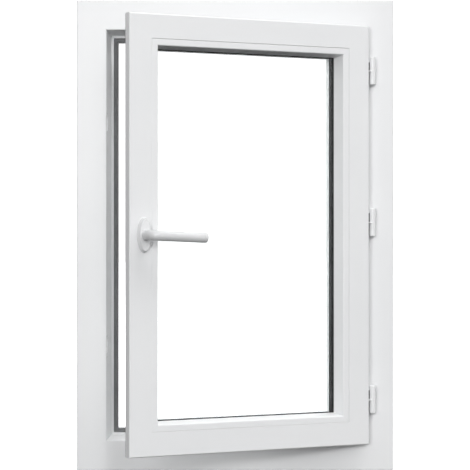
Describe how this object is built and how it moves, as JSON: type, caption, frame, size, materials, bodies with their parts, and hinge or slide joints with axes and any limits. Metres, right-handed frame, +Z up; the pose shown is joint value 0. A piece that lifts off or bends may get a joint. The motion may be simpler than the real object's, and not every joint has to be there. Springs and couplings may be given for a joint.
{
  "type": "casement window",
  "caption": "White PVC casement window standing open on its side hinges, with a rebated frame, a double-glazed sash, rubber seals and a lever handle.",
  "frame": {"origin": "centre of the sill's underside, halfway through the frame's depth", "axes": "+Z up, -Y towards the room, +X towards the hinge side"},
  "size_m": [0.64, 0.3744, 0.95],
  "materials": {
    "pvc": "satin white",
    "bead_pvc": "satin white",
    "seal": "matte dark grey",
    "glazing_seal": "matte black",
    "spacer": "matte black",
    "glass": "clear",
    "hinge": "white enamel",
    "handle": "white enamel",
    "lock_steel": "zinc plated"
  },
  "bodies": {
    "root": {"frame_head": "pvc", "frame_sill": "pvc", "frame_lock_jamb": "pvc", "frame_hinge_jamb": "pvc", "frame_seal": "seal", "keep_lower": "hinge", "keep_upper": "hinge", "sash_top_rail": "pvc", "sash_bottom_rail": "pvc", "sash_lock_stile": "pvc", "sash_hinge_stile": "pvc", "bead_top": "bead_pvc", "bead_bottom": "bead_pvc", "bead_lock_side": "bead_pvc", "bead_hinge_side": "bead_pvc", "pane_inner": "glass", "pane_outer": "glass", "glass_spacer": "spacer", "glazing_gasket_inner": "glazing_seal", "glazing_gasket_outer": "glazing_seal", "sash_lip_seal": "seal", "lock_strip": "lock_steel", "handle_rosette": "handle", "handle_lever": "handle", "handle_end_cap": "handle", "hinge_bottom_packer": "spacer", "hinge_bottom_frame_half": "hinge", "hinge_bottom_sash_half": "hinge", "hinge_middle_packer": "spacer", "hinge_middle_frame_half": "hinge", "hinge_middle_sash_half": "hinge", "hinge_top_packer": "spacer", "hinge_top_frame_half": "hinge", "hinge_top_sash_half": "hinge"}
  },
  "joints": []
}
